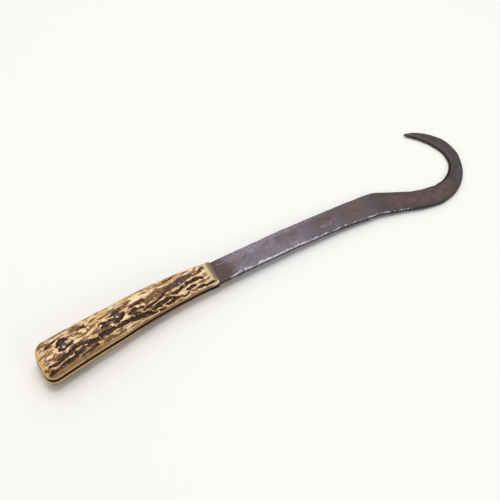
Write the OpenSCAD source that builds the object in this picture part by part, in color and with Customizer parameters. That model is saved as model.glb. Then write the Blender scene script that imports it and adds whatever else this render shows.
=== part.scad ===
// Pruning hook: one forged steel bar (tang, stem and hook) between two stag antler scales
// held by three peened iron pins. Nothing on it moves.
//
// Working frame: x runs from the handle to the hook with 0 at the front end of the scales,
// y points to the side that the hook opens to, z comes out of the front face and is 0 in the
// middle of the steel. The finished part is then stood on its lowest point, centred in x and y.

/* [Stem] */
// Width of the flat stem, edge to edge
stem_w = 16.2; // [12:0.2:20]
// Thickness of the stem
stem_t = 3; // [2.4:0.1:4]
// Straight length of the stem, from the scales to its first bend
stem_len = 89; // [60:1:120]
// Small chamfer that the hammer and file leave along the corners of the steel
edge_break = 0.4; // [0.2:0.05:0.6]

/* [Hook] */
// Length of the slow bend away from the opening, where the stem swells
swell_len = 29; // [15:0.5:45]
// Turn of that bend
swell_turn = 8; // [2:0.5:12]
// Width of the steel at the end of the swell
swell_w = 17.8; // [14:0.2:20]
// Length of the sharp knee that sets the hook off to one side
knee_len = 2; // [1.5:0.5:8]
// Turn of the knee
knee_turn = 14; // [6:0.5:20]
// Width at the end of the knee
knee_w = 17.4; // [14:0.2:19]
// Length of the neck behind the knee, which turns back towards the opening
neck_len = 21.5; // [14:0.5:30]
// Turn of the neck
neck_turn = 0; // [0:0.5:10]
// Width at the end of the neck
neck_w = 14; // [11:0.2:17]
// Length of the heel of the hook
heel_len = 18.5; // [12:0.5:26]
// Turn of the heel
heel_turn = 18.5; // [12:0.5:28]
// Width at the end of the heel
heel_w = 14.4; // [10:0.2:16]
// Length of the round belly
belly_len = 33.5; // [26:0.5:40]
// Turn of the belly
belly_turn = 67.5; // [55:0.5:76]
// Width at the end of the belly
belly_w = 8.6; // [7:0.2:11]
// Length of the bill that comes back over the opening
bill_len = 21; // [16:0.5:28]
// Turn of the bill
bill_turn = 49; // [38:0.5:58]
// Width at the end of the bill
bill_w = 9.2; // [7:0.2:11]
// Length of the beak, from the bill to the point
beak_len = 24; // [18:0.5:30]
// Turn of the beak
beak_turn = 40; // [28:0.5:46]
// Width left at the very point
point_w = 0.5; // [0.3:0.1:1.2]
// Thickness of the steel at the very point
point_t = 1.6; // [1.2:0.1:2.4]
// Width of the ground cutting bevel along the inside of the hook
bevel_w = 2.8; // [1.5:0.1:4]
// Thickness left on the cutting edge
cut_edge_t = 0.4; // [0.3:0.05:0.8]

/* [Handle] */
// Length of the antler scales, front lip to butt
scale_len = 121; // [95:0.5:150]
// Width of the handle at its front end
front_w = 17.8; // [17:0.2:20]
// Width of the handle just behind its front lip, where the scales reach full height
grip_w = 17.8; // [17:0.2:22]
// Width of the handle at its widest, near the butt
butt_w = 25.6; // [22:0.2:30]
// How far the handle's middle line swings off the stem's line at the butt
handle_sweep = 9.6; // [4:0.2:15]
// How far it bows towards the opening ahead of the middle pin
handle_bow = 1; // [0:0.1:2.5]
// Length from the front over which that bow lies
bow_len = 70; // [50:1:90]
// Plan radius of the two corners of the butt
butt_corner_r = 7; // [4:0.5:10]
// Height over which the butt end is rounded towards the steel
butt_roll = 7; // [3:0.5:10]

/* [Scales] */
// How much further back the front ends lie on the side away from the opening
front_skew = 1.6; // [0:0.1:3]
// Length from the front over which the scales lose that skew
skew_len = 22; // [12:1:40]
// Length of the smooth ramp at the front of each scale
ramp_len = 7.5; // [4:0.5:12]
// Height of the antler's thin front lip
lip_h = 1; // [0.6:0.1:2]
// Share of a scale's height that is its upright side wall
side_share = 0.2; // [0.15:0.01:0.4]
// Height of the front scale where its ramp ends
front_ramp_h = 4.2; // [3:0.1:6]
// Height of the front scale at its thickest, near the butt
front_crown_h = 8.4; // [6.5:0.1:11]
// Height of the back scale where its ramp ends
back_ramp_h = 2.8; // [2:0.1:4.5]
// Height of the back scale at its thickest, near the butt
back_crown_h = 11.4; // [8:0.1:13]
// Depth of the main natural furrows in the antler
furrow_depth = 0.9; // [0.3:0.1:1.4]

/* [Tang] */
// Thickness of the tang between the scales
tang_t = 1.7; // [1.2:0.1:2.4]
// Length over which the tang is drawn down from the stem's thickness
tang_taper_len = 16; // [10:0.5:24]
// How far the tang stays inside the outline of the scales
tang_inset = 0.3; // [0.1:0.05:1]
// Bedding gap between the tang and each scale
bed_gap = 0.04; // [0.02:0.01:0.1]

/* [Pins] */
// Diameter of the iron pins
pin_d = 2.8; // [2:0.1:4]
// Diameter of a peened pin head
head_d = 3.6; // [3.2:0.1:5]
// Thickness of a pin head's rim
head_rim = 0.6; // [0.4:0.1:1]
// Height of the dome on a pin head
head_dome = 0.5; // [0.3:0.1:0.8]
// Depth of the head's seat below the crown of the antler
seat_depth = 1.2; // [0.8:0.1:1.6]
// Clearance round a pin and round its heads
pin_gap = 0.05; // [0.03:0.01:0.15]
// Distance of the rear pin from the front of the scales
rear_pin_at = 104.5; // [92:0.5:108]
// Distance of the middle pin from the front of the scales
middle_pin_at = 68.5; // [50:0.5:80]
// Distance of the front pin from the front of the scales
front_pin_at = 24.5; // [18:0.5:36]
// How far the front pin sits off the handle's middle line
front_pin_off = 1; // [-2:0.5:2]

/* [Hidden] */

// Steps along each bend of the steel
bend_steps = 12;
// Length by which the hook's loft runs back into the straight stem
lap = 1.5;
// Stations along a scale, and steps across its crown
scale_steps = 84;
crown_steps = 30;
// How strongly the stations are drawn together at the two ends of a scale
station_pull = 0.1;
// Round faces of the holes and pins
round_faces = 32;
// A little more than any cut needs, so that it leaves no skin
over = 1;

// Bends of the hook in order: length, turn towards the opening, width at the end
BENDS = [
    [swell_len, -swell_turn, swell_w],
    [knee_len, -knee_turn, knee_w],
    [neck_len, neck_turn, neck_w],
    [heel_len, heel_turn, heel_w],
    [belly_len, belly_turn, belly_w],
    [bill_len, bill_turn, bill_w],
    [beak_len, beak_turn, point_w]
];
BEAK = len(BENDS) - 1;

// Exponent of the beak's taper: below 1 it narrows slowly at first and then quickly
beak_taper = 0.58;
// Most of the steel's width that the outer chamfer and the cutting bevel may take up
chamfer_share = 0.2;
bevel_most = 0.6;

// Point reached by an arc of the given length and turn
function arc_end(from, heading, len, turn) =
    let (
        half = turn / 2,
        chord = abs(turn) < 0.001 ? len : len * sin(half) / (half * PI / 180)
    )
    from + chord * [cos(heading + half), sin(heading + half)];

// Place and heading where bend i starts
function bend_start(i) =
    i == 0 ? [[stem_len, 0], 0]
    : let (b = BENDS[i - 1], s = bend_start(i - 1))
        [arc_end(s[0], s[1], b[0], b[1]), s[1] + b[1]];

function bend_w_before(i) = i == 0 ? stem_w : BENDS[i - 1][2];

// Length along the middle line up to the start of bend i
function run_to(i) = i == 0 ? 0 : run_to(i - 1) + BENDS[i - 1][0];

// The steel thins from the knee on, and its inner edge is ground from the heel on
hook_run = run_to(BEAK) + beak_len;
thin_from = swell_len;
bevel_from = swell_len + knee_len + neck_len;

// Steel thickness at a distance along the bends
function steel_t(run) =
    stem_t - (stem_t - point_t) * max(0, run - thin_from) / (hook_run - thin_from);

// Share of the full bevel at a distance along the bends: it starts at the heel and is full
// half way round the belly
bevel_run = heel_len + belly_len / 2;
function bevel_share(run) = min(1, max(0, (run - bevel_from) / bevel_run));

function bend_width(i, t) =
    let (w0 = bend_w_before(i), w1 = BENDS[i][2])
    i == BEAK ? w1 + (w0 - w1) * pow(1 - t, beak_taper) : w0 + (w1 - w0) * t;

// Ring of eight points round the steel: outer edge first, then the ground inner edge
function steel_ring(at, heading, w, t, share) =
    let (
        side = [-sin(heading), cos(heading)],
        outer = min(edge_break, w * chamfer_share),
        inner = outer + (min(bevel_w, w * bevel_most) - outer) * share,
        rim = t / 2 - edge_break,
        edge = rim + (cut_edge_t / 2 - rim) * share,
        section = [
            [-w / 2, -rim], [-w / 2 + outer, -t / 2], [w / 2 - inner, -t / 2], [w / 2, -edge],
            [w / 2, edge], [w / 2 - inner, t / 2], [-w / 2 + outer, t / 2], [-w / 2, rim]
        ]
    )
    [for (p = section) [at[0] + side[0] * p[0], at[1] + side[1] * p[0], p[1]]];

function bend_ring(i, t) =
    let (
        s = bend_start(i),
        b = BENDS[i],
        run = run_to(i) + b[0] * t
    )
    steel_ring(
        arc_end(s[0], s[1], b[0] * t, b[1] * t), s[1] + b[1] * t,
        bend_width(i, t), steel_t(run), bevel_share(run));

hook_rings = concat(
    [steel_ring([stem_len - lap, 0], 0, stem_w, stem_t, 0)],
    [for (i = [0 : BEAK], k = [(i == 0 ? 0 : 1) : bend_steps]) bend_ring(i, k / bend_steps)]
);

// Solid skin over a row of rings that all have the same number of points
module loft(rings) {
    n = len(rings[0]);
    last = len(rings) - 1;
    points = [for (ring = rings) each ring];
    sides = [for (i = [0 : last - 1], k = [0 : n - 1])
        let (a = i * n + k, b = i * n + (k + 1) % n, c = b + n, d = a + n)
        each [[a, c, b], [a, d, c]]];
    caps = [
        [for (k = [0 : n - 1]) k],
        [for (k = [n - 1 : -1 : 0]) last * n + k]
    ];
    polyhedron(points = points, faces = concat(sides, caps));
}

// Distance u is measured from the front of the scales back to the butt.
// Middle line of the handle in plan
function handle_mid(u) =
    -handle_sweep * pow(u / scale_len, 2) + handle_bow * sin(180 * min(1, u / bow_len));

// Exponent of the handle's flare towards the butt, nearly straight
flare = 0.9;

// The handle is at its widest where the corners of its butt start
wide_at = scale_len - butt_corner_r;

// Half width of the handle before its butt corners are rounded
function plain_half(u) =
    u < ramp_len ? (front_w + (grip_w - front_w) * sin(90 * u / ramp_len)) / 2
    : (grip_w + (butt_w - grip_w) * pow((u - ramp_len) / (wide_at - ramp_len), flare)) / 2;

// Half width with the rounded corners of the butt
function handle_half(u) =
    let (past = u - wide_at)
    past <= 0 ? plain_half(u)
    : butt_w / 2 - butt_corner_r + sqrt(max(0, pow(butt_corner_r, 2) - pow(past, 2)));

// Half thickness of the tang under the scales
function tang_half(u) = (stem_t + (tang_t - stem_t) * min(1, max(0, u / tang_taper_len))) / 2;

// Half width of the tang, which widens from the stem over a short shoulder of this slope
shoulder_slope = 0.5;
function tang_half_w(u) =
    min(handle_half(u) - tang_inset, stem_w / 2 + max(0, u) * shoulder_slope);

// Main natural furrows of the antler, each a stroke through a few points: the distance from the
// front of the scale, the distance round the crown from its middle, and the half width there.
// They are drawn on a handle of this length and half girth, and stretch with the real one.
drawn_len = 121;
drawn_girth = 13;
FRONT_FURROWS = [
    [[118, -8.7, 0.6], [112, -7.7, 0.9], [104.5, -7.1, 1.2], [98, -6.2, 1], [92, -4.2, 0.8]],
    [[116, -5, 0.8], [107, -4.2, 1], [100, -3.7, 1], [95, -2.9, 0.8], [89, -4.5, 1.4], [82.5, -5, 0.9],
        [77.5, -5, 1.2], [72.5, -4.3, 0.6]],
    [[109, 1.4, 0.7], [104.5, 2.3, 1.1], [100.5, 1.6, 0.5]],
    [[108, -1, 0.6], [102, -0.7, 0.9], [98, -0.5, 0.4]],
    [[114.5, 3.2, 0.5], [108, 4.3, 0.6]],
    [[93, 3.5, 0.6], [88.5, 3.8, 0.6]],
    [[80, 0.2, 0.4], [76.5, -0.8, 0.9], [71, -1.6, 1.3], [66.5, -1.3, 1.2], [63.5, -0.4, 0.4]],
    [[72, -5.1, 0.5], [65, -5.2, 0.9], [58, -6.2, 1.2], [51, -7.3, 1.1], [46, -9.3, 0.6]],
    [[58, -1.8, 0.7], [54, -1, 0.8], [49.5, -0.4, 1.1], [43, 0, 1.7], [37.5, 0, 1.3], [32, 0.2, 1.2],
        [28, 0.9, 1.9], [22.5, 2.2, 2.3], [16, 3, 1.4]],
    [[47, -6.4, 0.5], [43, -5.6, 1], [37.5, -5.3, 1], [32.5, -5.4, 0.5]],
    [[38, -7.8, 0.6], [34, -7.8, 1.3], [29, -7, 0.6]],
    [[32, -3.5, 0.5], [28, -3.4, 1], [22, -2, 0.6], [17, -1.2, 1], [11, -1.8, 0.6]],
    [[27, -7.3, 0.5], [24, -8.3, 1], [18, -4.6, 0.8]],
    [[33, 6.2, 0.6], [28.5, 6.2, 0.6]],
    [[15, -7, 0.6], [10, -7.6, 0.9], [5, -6.9, 0.5]],
    [[13.5, 5, 1], [10.5, 7, 0.6]]
];
BACK_FURROWS = [
    [[117, -5, 0.7], [109, -4.2, 1.1], [101, -5, 1], [93, -6.6, 0.8]],
    [[112, 2.4, 0.6], [103, 3.4, 1.1], [94, 2.2, 1], [87, 2.8, 0.6]],
    [[109, 8, 0.5], [100, 7.4, 0.9], [92, 7.9, 0.5]],
    [[97, -1.4, 0.6], [90, -0.8, 1.1], [83, -1.8, 1.2], [76, -1.2, 0.6]],
    [[90, -9, 0.6], [80, -8.2, 1], [70, -7.4, 1], [62, -8.3, 0.6]],
    [[82, 6.1, 0.6], [74, 5.2, 1.1], [65, 5.9, 1], [58, 5.2, 0.6]],
    [[71, -3, 0.7], [63, -2.2, 1.2], [55, -3.4, 1], [48, -3, 0.6]],
    [[60, 1.6, 0.6], [51, 2.3, 1.1], [42, 1.2, 1], [35, 1.9, 0.6]],
    [[56, -8.6, 0.5], [46, -7.6, 1], [37, -8.2, 0.6]],
    [[48, 8, 0.5], [40, 7.2, 0.9], [31, 7.8, 0.5]],
    [[40, -3.8, 0.6], [31, -3, 1.1], [22, -4.2, 1], [14, -3.6, 0.6]],
    [[28, 2.8, 0.6], [20, 3.6, 1], [12, 2.8, 0.6]]
];

// Width of a furrow's sloping side
furrow_side = 1.2;

// Most of the antler's height that a furrow may take away, so that its thin ends stay whole
furrow_most = 0.3;

// Depth share of a stroke's stretch from a to b at the place p: 1 in it, 0 outside
function stretch(a, b, p) =
    let (
        d = [b[0] - a[0], b[1] - a[1]],
        from = [p[0] - a[0], p[1] - a[1]],
        t = min(1, max(0, from * d / (d * d))),
        gap = norm(from - t * d),
        share = min(1, max(0, (a[2] + t * (b[2] - a[2]) - gap) / furrow_side + 0.5))
    )
    share * share * (3 - 2 * share);

// Furrow depth at u along the scale and at a share of the way round its crown, from -1 to 1
function furrows(list, u, round_share) =
    let (p = [u * drawn_len / scale_len, round_share * drawn_girth])
    furrow_depth * max([for (f = list, i = [1 : len(f) - 1]) stretch(f[i - 1], f[i], p)]);

// Height of a scale's middle over the tang, before furrows
function rise(u, ramp_h, top_h) =
    u < ramp_len ? lip_h + (ramp_h - lip_h) * u / ramp_len
    : ramp_h + (top_h - ramp_h) * sin(90 * min(1, (u - ramp_len) / (wide_at - ramp_len)));

// How much of the crown's height squared is lost where the butt rolls down to its end face
butt_face = 0.8;
function butt_share(u) =
    let (past = max(0, u - (scale_len - butt_roll)) / butt_roll)
    sqrt(max(0, 1 - butt_face * past * past));

// Share of the crown left at v, which is 0 in the middle and 1 at the side wall. A power of 2
// makes the crown an ellipse, and a higher one squarer
crown_square = 2.2;
function crown_share(v) = sqrt(max(0, 1 - pow(abs(v), crown_square)));

// Height of a scale over the tang at u along and y across, before furrows
function scale_h(u, y, ramp_h, top_h) =
    let (h = rise(u, ramp_h, top_h), wall = h * side_share)
    wall + (h - wall) * butt_share(u) * crown_share(y / handle_half(u));

// Stations along the scale, closer at its front ramp and at its butt
function station(k) =
    let (t = k / scale_steps) scale_len * (t - station_pull * sin(360 * t));

// How far a point at u along and y across is set back by the skew of the front end
function set_back(u, y) =
    front_skew * max(0, 1 - u / skew_len) * (1 - y / handle_half(u)) / 2;

// Place of a point at u along and y across, h over the bed of a scale
function scale_point(u, y, h) =
    let (x = u + set_back(u, y))
    [-x, handle_mid(u) + y, tang_half(x) + bed_gap + h];

// Ring of points round one scale at u: bed first, then over the crown
function scale_ring(u, ramp_h, top_h, list) =
    let (half = handle_half(u))
    concat(
        [scale_point(u, half, 0), scale_point(u, -half, 0)],
        [for (k = [0 : crown_steps])
            let (
                y = -half * cos(180 * k / crown_steps),
                h = scale_h(u, y, ramp_h, top_h),
                furrow = furrows(list, u, 2 * k / crown_steps - 1)
            )
            scale_point(u, y, h - min(furrow, h * furrow_most))]
    );

// Stations along a scale with the ends of the ramp and of the tang's taper among them, and no
// other station closer to those than this
station_least = 0.3;
function scale_stations() =
    let (
        breaks = [ramp_len, tang_taper_len],
        regular = [for (k = [0 : scale_steps]) let (u = station(k))
            if (min([for (b = breaks) abs(b - u)]) > station_least) u]
    )
    sorted(concat(regular, breaks));

function sorted(list) =
    len(list) < 2 ? list
    : let (
        pivot = list[floor(len(list) / 2)],
        low = [for (v = list) if (v < pivot) v],
        same = [for (v = list) if (v == pivot) v],
        high = [for (v = list) if (v > pivot) v]
    )
    concat(sorted(low), same, sorted(high));

front_rings = [for (u = scale_stations())
    scale_ring(u, front_ramp_h, front_crown_h, FRONT_FURROWS)];
back_rings = [for (u = scale_stations())
    scale_ring(u, back_ramp_h, back_crown_h, BACK_FURROWS)];

// Pins: distance from the front of the scales, and offset from the handle's middle line
REAR_PIN = [rear_pin_at, 0];
MIDDLE_PIN = [middle_pin_at, 0];
FRONT_PIN = [front_pin_at, front_pin_off];
PINS = [REAR_PIN, MIDDLE_PIN, FRONT_PIN];

function pin_place(pin) = [-pin[0], handle_mid(pin[0]) + pin[1], 0];

// Height of a pin head's seat over the middle of the steel
function seat_z(pin, ramp_h, top_h) =
    tang_half(pin[0]) + bed_gap + scale_h(pin[0], pin[1], ramp_h, top_h) - seat_depth;
function front_seat_z(pin) = seat_z(pin, front_ramp_h, front_crown_h);
function back_seat_z(pin) = seat_z(pin, back_ramp_h, back_crown_h);

// The box round the finished part, from the points that reach furthest, and the shift that
// stands it on its lowest point with its box centred on the origin
hook_points = [for (ring = hook_rings) each ring];
back_points = [for (ring = back_rings) each ring];
low_x = -scale_len;
high_x = max([for (p = hook_points) p[0]]);
low_y = min(min([for (p = hook_points) p[1]]), min([for (p = back_points) p[1]]));
high_y = max([for (p = hook_points) p[1]]);
low_z = max(
    max([for (p = back_points) p[2]]),
    max([for (pin = PINS) back_seat_z(pin) + head_rim + head_dome])
);
stand = [-(low_x + high_x) / 2, -(low_y + high_y) / 2, low_z];

// Plan outline of the tang
tang_steps = 40;
tang_outline =
    let (us = [for (k = [0 : tang_steps])
        (scale_len - tang_inset) * sin(90 * k / tang_steps)])
    concat(
        [for (u = us) [-u, handle_mid(u) + tang_half_w(u)]],
        [for (k = [tang_steps : -1 : 0]) [-us[k], handle_mid(us[k]) - tang_half_w(us[k])]]
    );

// Side view of the tang: the stem's thickness drawn down to the tang's
tang_profile = [
    [0, stem_t / 2], [-tang_taper_len, tang_t / 2], [-scale_len - over, tang_t / 2],
    [-scale_len - over, -tang_t / 2], [-tang_taper_len, -tang_t / 2], [0, -stem_t / 2]
];

module tang() {
    intersection() {
        translate([0, 0, -stem_t / 2]) linear_extrude(stem_t) polygon(tang_outline);
        translate([0, scale_len, 0]) rotate([90, 0, 0])
            linear_extrude(2 * scale_len) polygon(tang_profile);
    }
}

// Flat stem with its corners broken, as one straight run of the hook's own section
module stem() {
    section = [for (p = steel_ring([0, 0], 0, stem_w, stem_t, 0)) [p[1], p[2]]];
    rotate([90, 0, 90]) linear_extrude(stem_len) polygon(section);
}

// Straight holes for the pins through whatever they are cut from
module pin_holes() {
    reach = 2 * (front_crown_h + back_crown_h);
    for (pin = PINS)
        translate(pin_place(pin) - [0, 0, reach / 2])
            cylinder(h = reach, d = pin_d + 2 * pin_gap, $fn = round_faces);
}

module blade() {
    color("#6b5a56") translate(stand) difference() {
        union() {
            tang();
            stem();
            loft(hook_rings);
        }
        pin_holes();
    }
}

// Antler scale with its pin holes and round seats for the pin heads
module scale_body(rings, seats) {
    difference() {
        loft(rings);
        pin_holes();
        for (i = [0 : len(PINS) - 1])
            translate(pin_place(PINS[i]) + [0, 0, seats[i]])
                cylinder(h = front_crown_h + back_crown_h, d = head_d + 2 * pin_gap,
                    $fn = round_faces);
    }
}

module front_scale() {
    color("#c9a06a") translate(stand)
        scale_body(front_rings, [for (pin = PINS) front_seat_z(pin)]);
}

module back_scale() {
    color("#b98f5c") translate(stand) mirror([0, 0, 1])
        scale_body(back_rings, [for (pin = PINS) back_seat_z(pin)]);
}

// Half profile of a head above its seat: rim, then a shallow dome
dome_steps = 6;
function head_profile(seat) =
    let (
        r = head_d / 2,
        ball = (r * r + head_dome * head_dome) / (2 * head_dome),
        sweep = asin(r / ball)
    )
    concat(
        [[pin_d / 2, seat], [r, seat]],
        [for (k = [0 : dome_steps])
            let (a = sweep * (1 - k / dome_steps))
            [k == dome_steps ? 0 : ball * sin(a), seat + head_rim + ball * (cos(a) - cos(sweep))]]
    );

// One pin, turned about its axis, with a head peened over at each end
module pin_body(pin) {
    front = head_profile(front_seat_z(pin));
    back = head_profile(back_seat_z(pin));
    profile = concat(front, [for (k = [len(back) - 1 : -1 : 0]) [back[k][0], -back[k][1]]]);
    translate(pin_place(pin)) rotate_extrude($fn = round_faces) polygon(profile);
}

module rear_pin() {
    color("#6f656a") translate(stand) pin_body(REAR_PIN);
}

module middle_pin() {
    color("#6f656a") translate(stand) pin_body(MIDDLE_PIN);
}

module front_pin() {
    color("#5c4f52") translate(stand) pin_body(FRONT_PIN);
}

blade();
front_scale();
back_scale();
rear_pin();
middle_pin();
front_pin();
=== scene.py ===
# %% [markdown]
# # A pruning hook with stag antler scales
# The tool is one forged steel bar, bent into a hook at one end and drawn into a flat tang at the
# other, between two halves of antler that three iron pins hold. The CAD model gives the sizes and
# the places. This notebook gives each piece the surface that the hand-made one has.

# %% Load the frame
import math

import bmesh
import bpy
import numpy as np
from mathutils import Matrix, Vector, noise


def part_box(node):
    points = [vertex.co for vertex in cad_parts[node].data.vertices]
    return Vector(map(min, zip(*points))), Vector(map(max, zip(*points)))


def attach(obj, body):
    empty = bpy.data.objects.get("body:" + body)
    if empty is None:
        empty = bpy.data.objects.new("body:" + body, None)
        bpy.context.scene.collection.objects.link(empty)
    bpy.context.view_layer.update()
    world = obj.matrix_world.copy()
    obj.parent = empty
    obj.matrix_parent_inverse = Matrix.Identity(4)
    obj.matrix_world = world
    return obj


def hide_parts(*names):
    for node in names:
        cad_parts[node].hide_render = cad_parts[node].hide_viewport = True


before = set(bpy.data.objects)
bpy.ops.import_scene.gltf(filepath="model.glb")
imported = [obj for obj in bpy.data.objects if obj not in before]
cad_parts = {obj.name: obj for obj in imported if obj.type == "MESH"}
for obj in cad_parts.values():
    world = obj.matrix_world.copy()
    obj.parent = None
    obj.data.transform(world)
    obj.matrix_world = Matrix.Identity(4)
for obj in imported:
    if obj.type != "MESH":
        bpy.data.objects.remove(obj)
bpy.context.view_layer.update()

MM = 0.001

# %% [markdown]
# ## Colours and nodes
# Hex colours are sRGB, as a painter reads them off a screen, and shaders work in linear light, so
# one function turns the first into the second. Materials are small trees of nodes, and a second
# function adds one node with its settings and its inputs, which keeps each tree readable.

# %% Colours and nodes
def linear(code):
    """The linear colour of an sRGB hex code."""
    shares = [int(code[i:i + 2], 16) / 255 for i in (1, 3, 5)]
    return tuple(s / 12.92 if s <= 0.04045 else ((s + 0.055) / 1.055) ** 2.4 for s in shares) + (1,)


def add(tree, kind, inputs=None, out=0, **settings):
    """Adds a node, sets it up, fills its inputs and returns one of its outputs.

    An input is a number, a hex colour or the output of another node.
    """
    node = tree.nodes.new("ShaderNode" + kind)
    for name, value in settings.items():
        setattr(node, name, value)
    for socket, value in (inputs or {}).items():
        if isinstance(value, bpy.types.NodeSocket):
            tree.links.new(value, node.inputs[socket])
        else:
            node.inputs[socket].default_value = linear(value) if isinstance(value, str) else value
    return node.outputs[out]


# %% [markdown]
# ## Stains and fine relief
# Both the antler and the steel got their colours as stains on a bare skin: soot and tannin in
# the furrows, rust and wear on the iron. So their materials are built in the same way, as a list
# of stains, one over the other. A stain lies where a mask that is stored on the mesh is high, or
# where a noise of some grain is. A fine noise frays its edge, because no real stain has a clean
# one. Pores, pits and hammer marks are finer than the mesh, so they are a bump.

# %% Stains and fine relief
FRAY_GRAIN = 0.6


def stained(tree, skin, stains, fray=0.3):
    """Lays stains over a skin and returns the colour.

    Each stain is its place (the name of a mask, or the grain of a noise in mm), the values where
    it starts and is full, its strength, and its colour.
    """
    where = add(tree, "TexCoord", out="Object")
    frayed = add(tree, "TexNoise", {"Vector": where, "Scale": 1 / (FRAY_GRAIN * MM), "Detail": 2.0})
    for place, start, full, strength, colour in stains:
        if isinstance(place, str):
            mask = add(tree, "Attribute", out="Fac", attribute_name=place)
            value = add(tree, "Math", {0: frayed, 1: fray, 2: mask}, operation="MULTIPLY_ADD")
            shift = fray / 2
        else:
            value = add(tree, "TexNoise", {"Vector": where, "Scale": 1 / (place * MM), "Detail": 2.0})
            shift = 0
        limits = {"From Min": start + shift, "From Max": full + shift, "To Max": strength}
        share = add(tree, "MapRange", {"Value": value} | limits, interpolation_type="SMOOTHSTEP")
        skin = add(tree, "Mix", {0: share, 6: skin, 7: colour}, out=2, data_type="RGBA")
    return skin


def fine_relief(tree, shader, grain, depth, strength, **more):
    """Bumps of a real grain and depth, in metres."""
    where = add(tree, "TexCoord", out="Object")
    marks = add(tree, "TexNoise", {"Vector": where, "Scale": 1 / grain, "Detail": 3.0} | more)
    bump = add(tree, "Bump", {"Height": marks, "Strength": strength, "Distance": depth})
    tree.links.new(bump, shader.inputs["Normal"])


# %% [markdown]
# ## Where the table is
# The hook doesn't lie flat: it rests on the thick butt of its handle and on the lowest edge of the
# hook, so the table slopes a little in the model's own frame. The slope is found as one would
# find it on a bench, by rolling a straight edge up against both ends from below.

# %% The table under the tool
def corners_of(node):
    """All vertices of a CAD node as rows of x, y, z."""
    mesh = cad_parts[node].data
    places = np.empty(len(mesh.vertices) * 3, np.float32)
    mesh.vertices.foreach_get("co", places)
    return places.reshape(-1, 3).astype(float)


handle_points = np.vstack([corners_of(n) for n in ("back_scale", "rear_pin", "middle_pin")])
blade_points = corners_of("blade")
blade_points = blade_points[blade_points[:, 0] > 0]
slope = 0.0
for _ in range(6):
    heel = handle_points[np.argmin(handle_points[:, 2] - slope * handle_points[:, 0])]
    slopes = (blade_points[:, 2] - heel[2]) / (blade_points[:, 0] - heel[0])
    slope = slopes.min()
table_turn = Matrix.Rotation(-math.atan(slope), 4, "Y")
TABLE = Matrix.Translation((0, 0, heel[2] - slope * heel[0])) @ table_turn
print(f"table slopes {math.degrees(math.atan(slope)):.2f} degrees, under x {heel[0] / MM:.1f} mm")

# %% [markdown]
# ## Camera
# The photograph looks down steeply from the handle's side. The lens is a long one, so the tool
# hardly tapers with distance. The aim point is on the table, close to the middle of the tool. The
# lamps below are aimed at the same point, so one function turns a compass direction and a height
# into a place and a gaze.

# %% Camera
AZIMUTH, ELEVATION = -30.13, 55
DISTANCE = 672 * MM
AIM = Vector((-5 * MM, 1.2 * MM, 0))
SENSOR, LENS = 36, 75.9


def placed(name, data):
    """A new object that shows this data, linked to the scene."""
    thing = bpy.data.objects.new(name, data)
    bpy.context.scene.collection.objects.link(thing)
    return thing


def gaze_from(azimuth, elevation, distance):
    """The matrix of something that looks at the aim point, from angles in degrees."""
    a, e = math.radians(azimuth), math.radians(elevation)
    out = Vector((math.sin(a) * math.cos(e), -math.cos(a) * math.cos(e), math.sin(e)))
    turned = (-out).to_track_quat("-Z", "Y").to_matrix().to_4x4()
    return TABLE @ Matrix.Translation(AIM + out * distance) @ turned


camera_data = bpy.data.cameras.new("photo_camera")
camera_data.sensor_width = SENSOR
camera_data.lens = LENS
camera_data.clip_start = 10 * MM
camera = placed("photo_camera", camera_data)
camera.matrix_world = gaze_from(AZIMUTH, ELEVATION, DISTANCE)
bpy.context.scene.camera = camera
print("camera looks down by", ELEVATION, "degrees from", round(DISTANCE / MM), "mm away")

# %% [markdown]
# ## Light
# The photograph was taken in a bright white room: soft light from all round, and two large soft
# sources above and behind, a ceiling and a skylight, that throw a soft shadow towards the viewer.
# A small lamp overhead glints on the domed pins, and a window in front on the worn edge of the
# steel.

# %% Light
ROOM_LIGHT = 0.5
world = bpy.data.worlds.new("white_room")
bpy.context.scene.world = world
world.use_nodes = True
room = world.node_tree.nodes["Background"]
room.inputs["Color"].default_value = linear("#FFFDF7")
room.inputs["Strength"].default_value = ROOM_LIGHT
bpy.context.scene.view_settings.view_transform = "Standard"


def soft_light(name, azimuth, elevation, distance, size, power, code):
    """A square lamp. Its distance and size are in metres, and its power in watts."""
    data = bpy.data.lights.new(name, "AREA")
    data.size = size
    data.energy = power
    data.color = linear(code)[:3]
    placed(name, data).matrix_world = gaze_from(azimuth, elevation, distance)
    print(name, "shines", power, "W from", elevation, "degrees up")


soft_light("ceiling_bounce", 160, 70, 1.4, 2.0, 5.8, "#FBFCFF")
soft_light("skylight", 150, 83, 1.4, 0.8, 6.4, "#FFFDFA")
soft_light("overhead_lamp", -25, 86, 1.3, 0.11, 2.0, "#FFFEFC")
soft_light("front_window", 15, 32, 1.3, 0.3, 1.3, "#F4F7FF")

# %% [markdown]
# ## Table top
# A plain sheet of matt white laminate, three metres each way so that no edge shows. It isn't part
# of the object.

# %% Table top
TABLE_REACH = 3


def fresh_material(name):
    """A new material, its node tree and its shader."""
    material = bpy.data.materials.new(name)
    material.use_nodes = True
    print("material", name)
    return material, material.node_tree, material.node_tree.nodes["Principled BSDF"]


sheet = bmesh.new()
bmesh.ops.create_grid(sheet, x_segments=1, y_segments=1, size=TABLE_REACH)
bmesh.ops.transform(sheet, matrix=TABLE, verts=sheet.verts)
table_mesh = bpy.data.meshes.new("table_top")
sheet.to_mesh(table_mesh)
sheet.free()
placed("table_top", table_mesh)

laminate, _, laminate_shader = fresh_material("matt_white_laminate")
laminate_shader.inputs["Base Color"].default_value = linear("#F1F1F1")
laminate_shader.inputs["Roughness"].default_value = 0.7
table_mesh.materials.append(laminate)

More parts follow.
